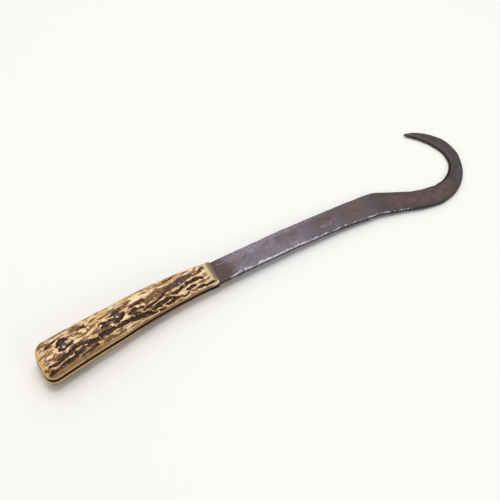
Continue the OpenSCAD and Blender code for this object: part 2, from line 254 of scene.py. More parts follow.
# %% [markdown]
# ## Turning a CAD node into a piece that can be worked
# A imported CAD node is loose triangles, one colour and no more detail than its shape needs. A copy
# of it is merged, so that its triangles share their corners, and is then laid out afresh as an
# even net of small squares. The voxel remesh does that in one step, with the pin holes and the
# edges kept to within a voxel, and it rounds every edge a little, as years in a hand do.

# %% Piece helpers
WELD = 0.002 * MM
NOISE_GAIN, SEED_STEP = 1.6, 37.7


def merged_copy(node):
    """A bmesh of a CAD node with its loose triangles joined up."""
    bm = bmesh.new()
    bm.from_mesh(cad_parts[node].data)
    bmesh.ops.remove_doubles(bm, verts=bm.verts, dist=WELD)
    return bm


def loose_object(bm, name):
    """An object of a bmesh that isn't part of the model yet."""
    mesh = bpy.data.meshes.new(name)
    bm.to_mesh(mesh)
    bm.free()
    return placed(name, mesh)


def worked(bm, name, kind, **settings):
    """The bmesh after one modifier has been applied to it."""
    rough = loose_object(bm, name)
    tool = rough.modifiers.new("tool", kind)
    for setting, value in settings.items():
        setattr(tool, setting, value)
    depsgraph = bpy.context.evaluated_depsgraph_get()
    result = bpy.data.meshes.new_from_object(rough.evaluated_get(depsgraph))
    bpy.data.objects.remove(rough)
    fresh = bmesh.new()
    fresh.from_mesh(result)
    bpy.data.meshes.remove(result)
    return fresh


def finished_piece(bm, name, node, material):
    """Makes a smooth-shaded object of a bmesh, which rides on the body and replaces a CAD node."""
    piece = loose_object(bm, name)
    piece.data.shade_smooth()
    piece.data.materials.append(material)
    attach(piece, "root")
    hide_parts(node)
    print(name, "has", len(piece.data.polygons), "faces and stands for", node)


def store_masks(bm, masks):
    """Stores a number per vertex under each mask's name, for the material to read."""
    for mask, values in masks.items():
        layer = bm.verts.layers.float.new(mask)
        for v, value in zip(bm.verts, values.tolist()):
            v[layer] = value


def places_of(bm):
    """Rows of x, y, z of a bmesh's vertices."""
    return np.array([v.co for v in bm.verts])


def noise_at(points, grain, seed):
    """Smooth noise from about -1 to 1 at each point. Its grain is in the points' own unit."""
    scaled = points / np.asarray(grain) + SEED_STEP * seed
    return np.array([noise.noise(p) for p in scaled.tolist()]) * NOISE_GAIN


def ease(low, high, values):
    """0 up to low, 1 from high on, and an S-shaped step between, or falling if low is higher."""
    t = np.clip((values - low) / (high - low), 0, 1)
    return t * t * (3 - 2 * t)


# %% [markdown]
# ## A ruler that follows the handle
# The markings of the antler run along a handle that swings and widens, so they are easier to
# place on its own ruler than on x and y. Each point gets two numbers in millimetres: how far it is
# from the front of the handle, and how far round the crown it lies from the top of the handle,
# negative towards the viewer's side. The ruler reads the outline off the CAD node's own rows of
# points, so it stays right when the handle changes.

# %% Handle ruler
CROWN_GIRTH = 13.0
ROW_MIN_WIDTH, ROW_GRAIN = 8 * MM, 0.02 * MM
RULER_STEP, RULER_REACH = 1 * MM, 1.7 * MM
FRONT_SKEW, SKEW_LENGTH = 1.6, 22
STEM_THICK, TANG_THICK, TANG_TAPER = 3, 1.7, 16


def outline_rows(node, x_to):
    """x, lowest y and highest y of each row of points that crosses the node from side to side."""
    points = corners_of(node)
    keys = np.round(points[:, 0] / ROW_GRAIN).astype(int)
    rows = []
    for key in np.unique(keys):
        row = points[keys == key]
        if np.ptp(row[:, 1]) > ROW_MIN_WIDTH and row[0, 0] < x_to:
            rows.append((row[:, 0].mean(), row[:, 1].min(), row[:, 1].max()))
    return np.array(rows).T


def outline_steps(node):
    """x, lowest y and highest y at even steps along a node whose rows aren't square to x."""
    points = corners_of(node)
    steps = []
    for x in np.arange(points[:, 0].min(), points[:, 0].max(), RULER_STEP):
        near = points[np.abs(points[:, 0] - x) < RULER_REACH, 1]
        steps.append((x, near.min(), near.max()))
    return np.array(steps).T


handle_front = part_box("front_scale")[1].x
blade_low, blade_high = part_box("blade")
blade_height = (blade_low.z + blade_high.z) / 2
ruler_x, ruler_low, ruler_high = outline_steps("front_scale")


def on_handle(points):
    """Distance from the front and distance round the crown of each point, in mm."""
    low = np.interp(points[:, 0], ruler_x, ruler_low)
    high = np.interp(points[:, 0], ruler_x, ruler_high)
    share = np.clip((2 * points[:, 1] - low - high) / (high - low), -1, 1)
    along = (handle_front - points[:, 0]) / MM
    return along, CROWN_GIRTH * np.arcsin(share) / (math.pi / 2)


def set_back(along, girth):
    """How far the slanting front end is set back at a place on the ruler, in mm."""
    return FRONT_SKEW * np.clip(1 - along / SKEW_LENGTH, 0, 1) * (1 - girth / CROWN_GIRTH) / 2


def over_tang(points, along):
    """Height over the tang's face, on either side of it, in mm."""
    tang = STEM_THICK + (TANG_THICK - STEM_THICK) * np.clip(along / TANG_TAPER, 0, 1)
    return np.abs(points[:, 2] - blade_height) / MM - tang / 2


handle_length = (handle_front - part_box("front_scale")[0].x) / MM
print("handle is", round(handle_length, 1), "mm long")

# %% [markdown]
# ## The markings of the front scale
# Stag antler, or crown stag, is bone with a rough bark. Its ridges are rubbed cream and its
# furrows stay nearly black. The furrows are drawn as strokes: each is a few points on the
# handle's ruler with a half width, in millimetres. A noise bends their edges, so a few points are
# enough for a ragged one. Black strokes are deep, brown ones are shallow and broken by pale
# specks, and hairlines are cracks. The back scale is hidden, so it has fewer strokes.

# %% Front markings
BLACK = [
    [(114.8, 3.2, .3), (111, 3.7, .45), (108, 4.3, .5), (106.6, 4.5, .2)],
    [(93.2, 3.5, .5), (91, 3.9, .65), (88.6, 3.8, .4)],
    [(109, 1.3, .5), (107, 2, .9), (104.5, 2.6, .9), (102.4, 2.6, .7), (100.6, 1.6, .3)],
    [(108.3, -.9, .35), (105.4, -1.4, .5), (102, -.7, .75), (99.5, -.7, .5), (98, -.5, .2)],
    [(117.2, -4.8, .4), (114.5, -5.2, .75), (111, -5, .65), (107.4, -4.2, .8),
     (103.5, -4, .9), (100, -3.7, .8), (96.6, -2.7, .8), (94.8, -2.9, .6)],
    [(94.8, -3.1, .5), (92, -3.8, .6), (89, -4.5, 1.3), (86, -4.9, .9), (82.6, -5, .7)],
    [(119, -8.9, .4), (116.4, -8.1, .7), (112, -7.7, .7), (108.5, -7.3, .95), (104.5, -7.1, 1),
     (101, -6.9, .9), (98.2, -6.2, .8), (95, -5.7, .5), (90, -5.3, .8)],
    [(103, -5, .4), (100.5, -5.1, .5), (98.6, -5.5, .5)],
    [(97, -8.5, .3), (92.5, -8.6, .45), (88.5, -8.4, .5), (85.6, -7.7, .7), (84.9, -7.4, .3)],
    [(82.9, -4, .5), (80.5, -4.4, .7), (77.6, -5.2, 1), (75, -4.6, .8), (72.4, -4.3, .4)],
    [(80.6, .1, .2), (78.6, .3, .5), (77, -.5, .9), (75.6, -1, .8), (74.6, -.8, .3)],
    [(80.2, -1.6, .4), (78.4, -1.5, .5), (76.8, -2.2, .4)],
    [(74.4, -.4, .3), (72.2, -.6, .5), (71, -1.6, 1.1), (68.6, -2.1, 1), (66.4, -1.4, 1),
     (64.8, -.8, .7), (63.7, -.4, .25)],
    [(73.3, 1.1, .3), (71, 1.5, .45), (69, 1.4, 1.1), (67.4, 2, .55), (65.9, 2.2, .3)],
    [(72.3, -5.1, .35), (69.4, -5.1, .75), (65, -5.2, .75), (61, -5.6, .8), (58, -6.2, 1.1),
     (54, -7, 1), (51, -7.2, 1), (48.6, -8.3, 1), (46, -9.3, .5)],
    [(59.4, .4, .25), (57, .3, .35), (53.4, .7, .5), (51.6, 1, .6), (49.6, .6, .35)],
    [(58.6, -1.6, .5), (56.5, -1.8, .6), (54, -2.1, .5), (51.8, -2.6, .25)],
    [(62.2, -2.4, .3), (60.4, -2.6, .3), (58.8, -2.2, .3)],
    [(59, -3.5, .3), (56.9, -4.4, .7), (55.2, -5, .3)],
    [(52.3, -4.4, .3), (49.4, -4.2, .65), (47.2, -4.4, .4)],
    [(49.4, -4, .4), (45.5, -3.6, .3), (41.5, -3.1, .35), (39.4, -2.3, .6), (37.5, -1.6, .75),
     (35.8, -.6, .7), (34.4, -.2, .4)],
    [(47.2, -6.4, .25), (45.4, -6.6, .7), (43.2, -5.6, .85), (40.5, -5.3, .85), (37.6, -5.3, .8),
     (35, -4.9, .6), (32.8, -5.4, .4), (30.8, -5.9, .35)],
    [(43.4, -7, .45), (41.8, -7.5, .45), (40.9, -7.4, .25)],
    [(38, -7.7, .3), (36.1, -7.9, .9), (34, -7.8, 1.2), (31.6, -7.1, .85), (29.2, -7, .45)],
    [(43.6, -9.3, .3), (41.2, -9.9, .8), (39.2, -10, .4)],
    [(33.4, 6.4, .4), (31.4, 5.7, .6), (28.8, 6.1, .5), (27, 6.9, .3)],
    [(32.3, -3.4, .25), (29.6, -3.7, .8), (27.6, -3.2, .8), (25, -2.5, .6), (22, -2, .45),
     (20, -1.3, .7), (17, -1.2, .85), (14, -1.2, .85), (12, -1.1, .5), (10.7, -1.9, .5)],
    [(22.6, -5.3, .35), (20.6, -4.7, .75), (18, -4.4, .6), (16.1, -4.8, .45)],
    [(27.6, -7, .2), (25.6, -8.2, .7), (24, -8.4, .9), (22.4, -7.1, .45)],
    [(14.8, -7, .5), (12.5, -6.9, .8), (10.2, -7.7, .7), (7.2, -7.6, .8),
     (4.6, -6.8, .7), (3.2, -6.6, .3)],
    [(10.6, 3.8, .35), (8, 4.8, .5), (6.3, 5.7, .6), (5.5, 5.8, .3)],
    [(15.4, 1.8, .2), (12, 2, .3), (8.8, 2.4, .35)],
]
BROWN = [
    [(119.6, -5.8, .6), (117.4, -6.7, .7), (116, -7.2, .4)],
    [(106, 4.6, .4), (104.5, 3.4, .7)],
    [(119.6, .6, .4), (117, .5, .35), (114, 1.2, .15)],
    [(119, -2.5, .5), (117.2, -1.8, .4)],
    [(112.6, -1.9, .3), (110.4, -1.5, .35)],
    [(115.5, -2.5, .3), (112, -2.2, .2)],
    [(110.2, -2.6, .25), (107.4, -2.4, .35), (105.8, -2.7, .2)],
    [(116.5, -.4, .25), (111.5, -.3, .2)],
    [(101.8, -4.9, .5), (99, -5.5, .7), (96.5, -5.2, .6), (94.4, -4.3, .6)],
    [(110, -8.2, .5), (104, -8.3, .4), (99, -8.2, .3)],
    [(86.4, -2.2, .35), (84.2, -2.6, .5), (82, -2, .5), (80.5, -2.8, .6)],
    [(81, -3.4, .8), (78, -2.8, .8), (75.4, -3.4, .7)],
    [(85.6, 3.6, .3), (83.6, 4.1, .5), (82, 4, .3)],
    [(81.8, 4.7, .3), (81.2, 4.6, .3)],
    [(88.4, .9, .2), (86, .8, .4), (82.4, 1.2, .3), (80.4, 1.8, .15)],
    [(94.6, 5.9, .35), (91.8, 5.8, .45)],
    [(90.2, 3.1, .3), (88, 2.3, .4)],
    [(74.2, 3.4, .2), (70, 3.3, .25), (68.3, 4.2, .3), (66.6, 4.9, .2)],
    [(65.3, 5.4, .35), (64.6, 5, .3)],
    [(72.6, -6.9, .3), (70.6, -7, .5), (69, -7.8, .7), (68.2, -8.7, .5)],
    [(83.4, -6.8, .3), (80.6, -7, .4)],
    [(81.4, -8.3, .3), (77.4, -8.6, .3), (74.2, -8.3, .4)],
    [(79.4, -9.5, .3), (77.2, -9.5, .35)],
    [(75.4, -9.5, .3), (70.4, -9.6, .4), (67.8, -9, .35)],
    [(62.4, -9.4, .25), (57, -9.7, .35)],
    [(61.5, 2.5, .25), (59, 3.2, .3)],
    [(49.6, .2, .6), (46.5, .3, .8), (43.4, 1.2, .8), (40.6, 1.8, .7), (37.6, 1.4, .5), (34, 1.9, .3)],
    [(49.2, -1.6, .7), (46.4, -.9, .9), (43, -1, 1), (40.4, -.2, 1), (37.6, .2, .7)],
    [(35, 0, .7), (32.4, -.2, .8), (31.4, .8, .5)],
    [(34.6, 2, .3), (31.8, 2, .35), (30, 2.4, .3)],
    [(47.6, 4.6, .6), (46.2, 3.7, .4)],
    [(43, 6.4, .4), (41.8, 6.4, .3)],
    [(36.4, 4.4, .25), (34.8, 4.7, .3)],
    [(14.6, 5.6, .4), (13, 4.4, 1.1), (12, 6, .9), (10.6, 7.3, .5)],
    [(10.4, 3, .6), (8, 3.6, .8), (6, 3.4, .5)],
    [(20.4, -6.2, .6), (19.4, -7.4, .9), (17.8, -8.4, .7), (16.6, -7.3, .5)],
    [(29.8, -10.2, .35), (27.2, -10.1, .4), (25.4, -9.4, .4)],
    [(21.4, -9.8, .5), (19.8, -10, .4)],
    [(13.4, -4.3, .4), (11.4, -4.3, .9), (9.4, -4.4, .6)],
    [(8.2, -3.8, .4), (5.8, -2.9, .4)],
    [(9.4, -1.6, .35), (6.8, -1, .3)],
]
HAIRLINES = [
    [(90.4, -2.5, .2), (86, -1.8, .16), (82.4, -.8, .16), (80, -.1, .16)],
    [(103, 1.9, .15), (99.6, 2.6, .14), (95.4, 2.5, .1)],
    [(100, .6, .14), (96, .1, .12), (91, .3, .12)],
    [(98, 1.8, .1), (94, 1.4, .14), (91, 1.2, .1)],
    [(52, -2.9, .14), (47.6, -2.2, .12), (44, -1.9, .12)],
    [(113.5, 5.1, .14), (111, 5.4, .1)],
    [(104, 8.6, .16), (92, 9.8, .2), (80, 10.2, .14)],
    [(69, 10.4, .16), (58, 11, .22), (44, 11.2, .14)],
    [(97, 7, .14), (86, 7.6, .18), (76, 7.4, .12)],
]
SMOOTH_PATCH = [
    [(33.4, .4, .9), (31, .6, 1.5), (28, .9, 1.9), (25, 1.5, 2.2), (22.5, 2.2, 2.4),
     (20, 2.8, 2), (17.6, 2.9, 1.8), (15.8, 3, 1.4)],
]
BACK_BLACK = [
    [(117, -5, .5), (109, -4.2, .9), (101, -5, .8), (93, -6.6, .6)],
    [(112, 2.4, .4), (103, 3.4, .9), (94, 2.2, .8), (87, 2.8, .4)],
    [(109, 8, .3), (100, 7.4, .7), (92, 7.9, .3)],
    [(97, -1.4, .4), (90, -.8, .9), (83, -1.8, 1), (76, -1.2, .4)],
    [(90, -9, .4), (80, -8.2, .8), (70, -7.4, .8), (62, -8.3, .4)],
    [(82, 6.1, .4), (74, 5.2, .9), (65, 5.9, .8), (58, 5.2, .4)],
    [(71, -3, .5), (63, -2.2, 1), (55, -3.4, .8), (48, -3, .4)],
    [(60, 1.6, .4), (51, 2.3, .9), (42, 1.2, .8), (35, 1.9, .4)],
    [(56, -8.6, .3), (46, -7.6, .8), (37, -8.2, .4)],
    [(48, 8, .3), (40, 7.2, .7), (31, 7.8, .3)],
    [(40, -3.8, .4), (31, -3, .9), (22, -4.2, .8), (14, -3.6, .4)],
    [(28, 2.8, .4), (20, 3.6, .8), (12, 2.8, .4)],
]
SAW_NICK = [[(96.3, -9.4, .35), (95.3, -11.4, .5), (94.9, -13, .6)]]
HOLLOWS = [[(104.5, .3, 2.2), (104.4, .3, 2.2)], [(68.6, .2, 2.1), (68.5, .2, 2.1)]]


def cover(strokes, along, girth, soft=0.3, wider=0.0):
    """1 inside the strokes, 0 outside, with an edge this many mm wide."""
    best = np.full(len(along), -99.0)
    for stroke in strokes:
        for (a0, g0, r0), (a1, g1, r1) in zip(stroke, stroke[1:]):
            da, dg = a1 - a0, g1 - g0
            t = np.clip(((along - a0) * da + (girth - g0) * dg) / (da * da + dg * dg), 0, 1)
            gap = np.hypot(along - a0 - t * da, girth - g0 - t * dg)
            best = np.maximum(best, r0 + t * (r1 - r0) + wider - gap)
    return ease(-soft / 2, soft / 2, best)


print(len(BLACK), "black furrows,", len(BROWN), "brown ones")

# %% [markdown]
# ## Bark relief
# A mask for each kind of marking says how much of it each point has. The CAD model already has
# the main furrows, so the relief only cuts them crisper, adds the small ones, and roughens the
# ridges. It fades out where the antler was filed smooth: on the ramp at the front, along the sides
# next to the steel, and at the butt. The same masks are stored on the mesh, so colour and relief
# always agree. Ranges are millimetres on the handle's ruler, and they fall where the first number
# is the higher one.

# %% Bark masks
RAMP_FILED, BUTT_FILED, FILED_FADE = 5.4, 2.0, 1
SIDE_FILED_BUTT, SIDE_FILED_FRONT, SIDE_WIDENS = 7.4, 10.8, (70, 100)
WALL_RANGE, WALL_FROM = (2.6, 1.8), (9, 10.5)
STAINED_FROM, STAINED_TO, STAIN_FADE = 36, 74, 12
TOP_SIDE, TOWARDS_BUTT, TOWARDS_FRONT = (1, 8), (60, 95), (50, 25)
STREAKS_END, HALO_THINS = (11.2, 9.4), (55, 25)
# The ramp's front edge gets painted shade, dark grey-brown, on its upper side.
RAMP_SHADE_FADES, RAMP_SHADE_FROM = (5.6, 0.8), (-9, -4)


def waves(along, girth, length, width, seed):
    """Noise drawn out along the handle, with waves this many mm long and wide."""
    flat = np.column_stack([along, girth, np.zeros(len(along))])
    return noise_at(flat, (length, width, 1), seed)


def filed_masks(along, girth, over):
    """Where the antler is filed and polished smooth: the ramp, the sides and the butt."""
    ragged = 0.4 * waves(along, girth, 4, 2, 11)
    reach = SIDE_FILED_FRONT + (SIDE_FILED_BUTT - SIDE_FILED_FRONT) * ease(*SIDE_WIDENS, along)
    wall = ease(*WALL_RANGE, over + ragged) * ease(*WALL_FROM, np.abs(girth))
    side = np.maximum(ease(-0.3, 0.5, ragged - girth - reach), wall)
    from_front = along - set_back(along, girth) + ragged
    from_butt = handle_length - along + ragged
    rusty = ease(0, STAIN_FADE, along - STAINED_FROM) * ease(0, STAIN_FADE, STAINED_TO - along)
    return {
        "ramp": ease(RAMP_FILED + FILED_FADE, RAMP_FILED - FILED_FADE, from_front),
        "side": side,
        "butt": ease(BUTT_FILED + FILED_FADE, BUTT_FILED - FILED_FADE, from_butt),
        "red_brown_side": side * rusty,
    }


def streak_mask(along, girth, seed):
    """Fine brown streaks that run with the grain of the cream ridges."""
    lines = waves(along, girth, 5.5, 0.75, seed) + 0.5 * waves(along, girth, 14, 4, seed + 1)
    lines = lines + 0.32 * ease(*TOP_SIDE, girth)
    lines = lines + 0.12 * ease(*TOWARDS_BUTT, along) - 0.1 * ease(*TOWARDS_FRONT, along)
    return ease(0.12, 0.6, lines) * ease(*STREAKS_END, np.abs(girth))


def front_masks(along, girth):
    """The drawn markings of the front scale."""
    a = along + 0.7 * waves(along, girth, 2.4, 1.6, 1) + 0.25 * waves(along, girth, 1.2, 0.9, 2)
    g = girth + 0.36 * waves(along, girth, 2.8, 1.4, 3) + 0.13 * waves(along, girth, 1.6, 0.8, 4)
    specks = ease(0.35, 0.8, waves(along, girth, 1.7, 0.9, 5))
    ash = ease(0.75, 1.1, waves(along, girth, 1.2, 0.7, 7))
    halo = waves(along, girth, 3.4, 1.3, 8) - 0.15 * ease(*HALO_THINS, along)
    wider = 0.2 * (1 - ease(*TOWARDS_BUTT, along)) - 0.1 * ease(*TOWARDS_FRONT, along)
    shallow = cover(BROWN, a, g, 0.6, 0.15) * (1 - 0.8 * specks)
    # The upper side of the ramp, where the painted shade lies.
    shaded_side = ease(*RAMP_SHADE_FROM, girth + waves(along, girth, 3, 3, 9))
    return {
        "halo": cover(BLACK, a, g, 0.9, 0.75) * ease(-0.1, 0.5, halo),
        "ramp_shade": ease(*RAMP_SHADE_FADES, along - set_back(along, girth)) * shaded_side,
        "black": cover(BLACK, a, g, 0.5, wider) * (1 - 0.4 * ash),
        "brown": np.maximum(shallow, cover(HAIRLINES, a, g, 0.3, 0.06)),
        "patch": cover(SMOOTH_PATCH, a, g, 0.5),
        "streak": streak_mask(along, girth, 6),
        "hollow": cover(HOLLOWS, a, g, 1.2),
        "nick": cover(SAW_NICK, along, girth, 0.3),
    }


def back_masks(along, girth):
    """The unseen back scale: the same kind of bark, from its own strokes and a long noise."""
    a = along + 0.8 * waves(along, girth, 3, 2, 25)
    g = girth + 0.5 * waves(along, girth, 3, 1.6, 26)
    bark = waves(along, girth, 15, 2.6, 21) + 0.55 * waves(along, girth, 5, 1.5, 22)
    specks = ease(0.35, 0.8, waves(along, girth, 1.7, 0.9, 23))
    halo = waves(along, girth, 3.4, 1.3, 27)
    return dict.fromkeys(("ramp_shade", "patch", "nick"), np.zeros(len(along))) | {
        "halo": cover(BACK_BLACK, a, g, 0.9, 0.75) * ease(-0.1, 0.5, halo),
        "black": np.maximum(cover(BACK_BLACK, a, g, 0.5), ease(0.55, 0.7, bark)),
        "brown": ease(0.2, 0.42, bark) * (1 - 0.8 * specks),
        "streak": streak_mask(along, girth, 24),
        "hollow": cover(HOLLOWS, along, girth, 1.2),
    }


FURROW_DEPTH, SHALLOW_DEPTH, STREAK_DEPTH = 0.45, 0.22, 0.1
HOLLOW_DEPTH, NICK_DEPTH = 0.25, 0.35


def relief_mm(masks, along, girth):
    """How deep the surface lies under the CAD skin."""
    black = masks["black"] * (1 - 0.6 * masks["patch"])
    swell = 0.07 + 0.08 * waves(along, girth, 8, 3, 31)
    fine = 0.05 + 0.05 * waves(along, girth, 1.1, 0.6, 32)
    drawn = (FURROW_DEPTH * black + SHALLOW_DEPTH * masks["brown"] * (1 - black)
             + STREAK_DEPTH * masks["streak"] + HOLLOW_DEPTH * masks["hollow"]
             + NICK_DEPTH * masks["nick"])
    return drawn + (1 - masks["filed"]) * (swell + fine)


# %% [markdown]
# ## Antler as a material
# Antler is bone: matt where it is rough, with a low polish where it was filed, and never quite
# one colour. Bone has an index of refraction of about 1.5, but a porous bark reflects less, so it
# is set lower. Cream drifts to honey over about a centimetre, the bark is stained nearly black with
# a warm brown edge, and the filed sides show amber through the polish. The masks place these
# stains, and noise in the object's own space breaks them up down to about half a millimetre.

# %% Antler material
BARK_ROUGHNESS, LOW_POLISH = 0.6, 0.33
BARK_IOR = 1.3
# Real pores are about a tenth of a millimetre wide. They are drawn coarser, so that they show.
PORE, PORE_DEPTH = 0.35 * MM, 0.12 * MM


def stag_antler():
    """Bark, ridges and filed sides of stag antler."""
    material, tree, shader = fresh_material("stag_antler")
    umber = stained(tree, "#523524", [
        (0.8, 0.42, 0.64, 1, "#84603F"),
        (1.3, 0.58, 0.72, 0.8, "#B08B68"),
    ])
    soot = stained(tree, "#2A1812", [
        (0.9, 0.5, 0.68, 1, "#573B2C"),
        (1.6, 0.56, 0.7, 0.8, "#8A6850"),
    ])
    slate = stained(tree, "#3F3131", [(2.4, 0.4, 0.65, 1, "#56453F")])
    amber = stained(tree, "#8E6A38", [
        (5.0, 0.4, 0.65, 1, "#755022"),
        (1.7, 0.5, 0.75, 0.5, "#A27E48"),
    ])
    skin = stained(tree, "#F3D9AE", [
        (11.0, 0.4, 0.62, 1, "#DDB680"),
        (3.2, 0.42, 0.66, 0.7, "#B98C62"),
        ("streak", 0.1, 0.9, 0.9, "#6E4729"),
        ("side", 0.2, 0.9, 0.85, amber),
        ("red_brown_side", 0.3, 1.0, 0.6, "#6A4634"),
        ("butt", 0.2, 0.9, 0.8, "#DAB06A"),
        ("ramp", 0.2, 0.9, 0.8, "#D3BC94"),
        # Painted shade along the ramp's front edge.
        ("ramp_shade", 0.15, 0.95, 0.9, "#6F6049"),
        ("brown", 0.15, 0.7, 0.92, umber),
        ("halo", 0.2, 0.8, 0.85, umber),
        ("black", 0.02, 0.45, 1, "#5E3A22"),
        ("black", 0.35, 0.75, 1, soot),
        ("patch", 0.3, 0.8, 0.95, slate),
        ("hollow", 0.25, 0.8, 0.9, "#503A31"),
        ("nick", 0.3, 0.8, 0.8, "#5E3D22"),
        # A painted highlight on the edge over the tang; grime and painted shade in the joint.
        ("arris_highlight", 0.2, 0.9, 0.7, "#D6B684"),
        ("grime_and_shade", 0.2, 0.8, 1, "#3A1A08"),
    ])
    tree.links.new(skin, shader.inputs["Base Color"])

    filed = add(tree, "Attribute", out="Fac", attribute_name="filed")
    limits = {"Value": filed, "To Min": BARK_ROUGHNESS, "To Max": LOW_POLISH}
    tree.links.new(add(tree, "MapRange", limits), shader.inputs["Roughness"])
    shader.inputs["IOR"].default_value = BARK_IOR
    fine_relief(tree, shader, PORE, PORE_DEPTH, 0.5)
    return material


# %% [markdown]
# ## The two scales
# Each scale is the CAD solid, remeshed and cut with its relief. The crown's facets are melted
# with a few rounds of smoothing first. Round a pin the surface sinks as a whole, seat and all, so
# that the pin sits in its hollow and no collar stands up round it. Where the scale meets the tang,
# a thin dark line lies in the joint: grime, with painted shade of the groove. The edge over it
# has a painted highlight, a pale line where the edge catches the light.

# %% Scales
VOXEL = 0.32 * MM
PLACES = ("rear", "middle", "front")
PINS = [place + "_pin" for place in PLACES]
HEAD_RISE, SEAT_DEPTH = 1.1 * MM, 1.2 * MM
CROWN_FACING, MELT_ROUNDS = 0.35, 8
MELT_GAP, SEAT_GAP = 2.2 * MM, 2.3 * MM
# Dark line in the joint: grime and painted shade. Pale line on the edge: a painted highlight.
GRIME_AND_SHADE, ARRIS_FROM, ARRIS_TO = (0.9, 0.3), (0.7, 1.1), (3.2, 1.5)
ARRIS_ALONG, BACK_REDDENS = (20, 90), (76, 46)
pin_axes = [((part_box(p)[0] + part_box(p)[1]) / 2).xy for p in PINS]
bone = stag_antler()


def antler_scale(name, node, up, markings):
    """Remeshes one scale and cuts its bark. up is 1 for the front scale and -1 for the back."""
    bm = worked(merged_copy(node), name, "REMESH", mode="VOXEL", voxel_size=VOXEL)
    seats = [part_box(p)[(1 + up) // 2].z * up - HEAD_RISE for p in PINS]
    points = places_of(bm)
    near_pin = np.min([np.hypot(points[:, 0] - a.x, points[:, 1] - a.y) for a in pin_axes], axis=0)
    crown = [v for v, gap in zip(bm.verts, near_pin)
             if v.normal.z * up > CROWN_FACING and gap > MELT_GAP]
    for _ in range(MELT_ROUNDS):
        bmesh.ops.smooth_vert(bm, verts=crown, factor=0.5,
                              use_axis_x=True, use_axis_y=True, use_axis_z=True)
    bm.normal_update()

    points = places_of(bm)
    normals = np.array([v.normal for v in bm.verts])
    along, girth = on_handle(points)
    over = over_tang(points, along)
    filed = filed_masks(along, girth, over)
    smooth = np.maximum.reduce([filed["ramp"], filed["side"], filed["butt"]])
    masks = markings(along, girth) | filed | {"filed": smooth}
    masks["streak"] = masks["streak"] * (1 - 0.75 * smooth)
    # Grime and painted shade in the joint; a painted highlight on the edge over it.
    masks["grime_and_shade"] = ease(*GRIME_AND_SHADE, over + 0.15 * waves(along, girth, 3, 3, 15))
    masks["arris_highlight"] = ease(*ARRIS_FROM, over) * ease(*ARRIS_TO, over) * ease(*ARRIS_ALONG, along)
    # The back scale's filed side is made darker and redder towards the front of the handle.
    if up < 0:
        masks["red_brown_side"] = smooth * ease(*BACK_REDDENS, along)
        for stain in ("black", "brown"):
            masks[stain] = masks[stain] * (1 - smooth)
    depth = relief_mm(masks, along, girth) * MM
    outward = ease(-0.7, -0.2, normals[:, 2] * up)
    moved = points - normals * (depth * outward)[:, None]
    for axis, seat in zip(pin_axes, seats):
        gap = np.hypot(points[:, 0] - axis.x, points[:, 1] - axis.y)
        inside = gap < SEAT_GAP
        share = np.clip((points[:, 2] * up - seat) / SEAT_DEPTH, 0, 1)
        sunk = points.copy()
        sunk[:, 2] -= up * depth * share
        moved[inside] = sunk[inside]
    for v, place in zip(bm.verts, moved):
        v.co = place
    store_masks(bm, masks)
    print(name, "relief is up to", round(depth.max() / MM, 2), "mm deep")
    finished_piece(bm, name, node, bone)


antler_scale("front_antler", "front_scale", 1, front_masks)
antler_scale("back_antler", "back_scale", -1, back_masks)

# %% [markdown]
# ## The blade, forged straight and then bent
# A smith makes this blade as a straight bar: drawn out, thinned towards the point, ground along
# one edge, and only then bent into a hook. The mesh is made the same way. A flat grid is given the
# bar's section while it is straight, mirrored for the underside and closed round its rim. Then
# every point is carried to its place on the bends. A stain that is placed by its distance along
# the straight bar and from its edges follows the bent steel by itself.

# %% Sizes of the bar
STRAIGHT = 89
# Each bend: its length in mm, how far it turns in degrees, and the width at its end in mm.
BENDS = [
    (29, -8, 17.8),
    (2, -14, 17.4),
    (21.5, 0, 14),
    (18.5, 18.5, 14.4),
    (33.5, 67.5, 8.6),
    (21, 49, 9.2),
    (24, 40, 0.5),
]
STEM_WIDTH, POINT_THICK = 16.2, 1.6
EDGE_BREAK, TANG_EDGE_BREAK = 0.4, 0.1
BEVEL_WIDTH, CUTTING_EDGE = 2.8, 0.4
TANG_RECESS, RECESS_LENGTH = 0.4, 6
BEAK_TAPER = 0.58

hook_length = sum(length for length, _, _ in BENDS)
thin_from = STRAIGHT + BENDS[0][0]
ground_from = STRAIGHT + sum(length for length, _, _ in BENDS[:3])
ground_full = ground_from + BENDS[3][0] + BENDS[4][0] / 2
tang_x, tang_low, tang_high = outline_rows("blade", handle_front + 0.1 * MM)
tang_length = (handle_front - tang_x.min()) / MM - TANG_RECESS
print("bar before bending:", round(tang_length + STRAIGHT + hook_length, 1), "mm long")

# %% [markdown]
# ## The bar's widths and its bends
# Distances along the bar are in millimetres from the front of the handle, so the tang has negative
# ones. The tang's edges lie a little under the sides of the scales, which shows them as a dark
# line. Between two bends the width changes evenly, and along the beak it falls slowly and then
# quickly to the point. The bends are arcs, one after the other. A hand-forged bar never runs quite
# true, so its middle line strays by up to a millimetre, as this one's does.

# %% Widths and bends
def bar_width(run):
    """Width of the bar at a distance from the handle."""
    if run < 0:
        x = handle_front + run * MM
        recess = TANG_RECESS * min(1, -run / RECESS_LENGTH)
        return (np.interp(x, tang_x, tang_high) - np.interp(x, tang_x, tang_low)) / MM - 2 * recess
    width, start = STEM_WIDTH, STRAIGHT
    for length, _, end_width in BENDS:
        share = min(1, max(0, (run - start) / length))
        if share < 1:
            if end_width == BENDS[-1][2]:
                return end_width + (width - end_width) * (1 - share) ** BEAK_TAPER
            return width + (end_width - width) * share
        width, start = end_width, start + length
    return width


def bar_thickness(run):
    """Thickness of the bar: thin in the tang, full in the stem, thinner again from the knee on."""
    if run < 0:
        return STEM_THICK + (TANG_THICK - STEM_THICK) * min(1, -run / TANG_TAPER)
    past = max(0, run - thin_from) / (STRAIGHT + hook_length - thin_from)
    return STEM_THICK + (POINT_THICK - STEM_THICK) * min(1, past)


TRUE_TO = [(-10, 0), (0, 0.2), (25, 0.5), (52, 0.8), (77, 0.2), (104, -0.6), (122, -0.3), (150, 0)]


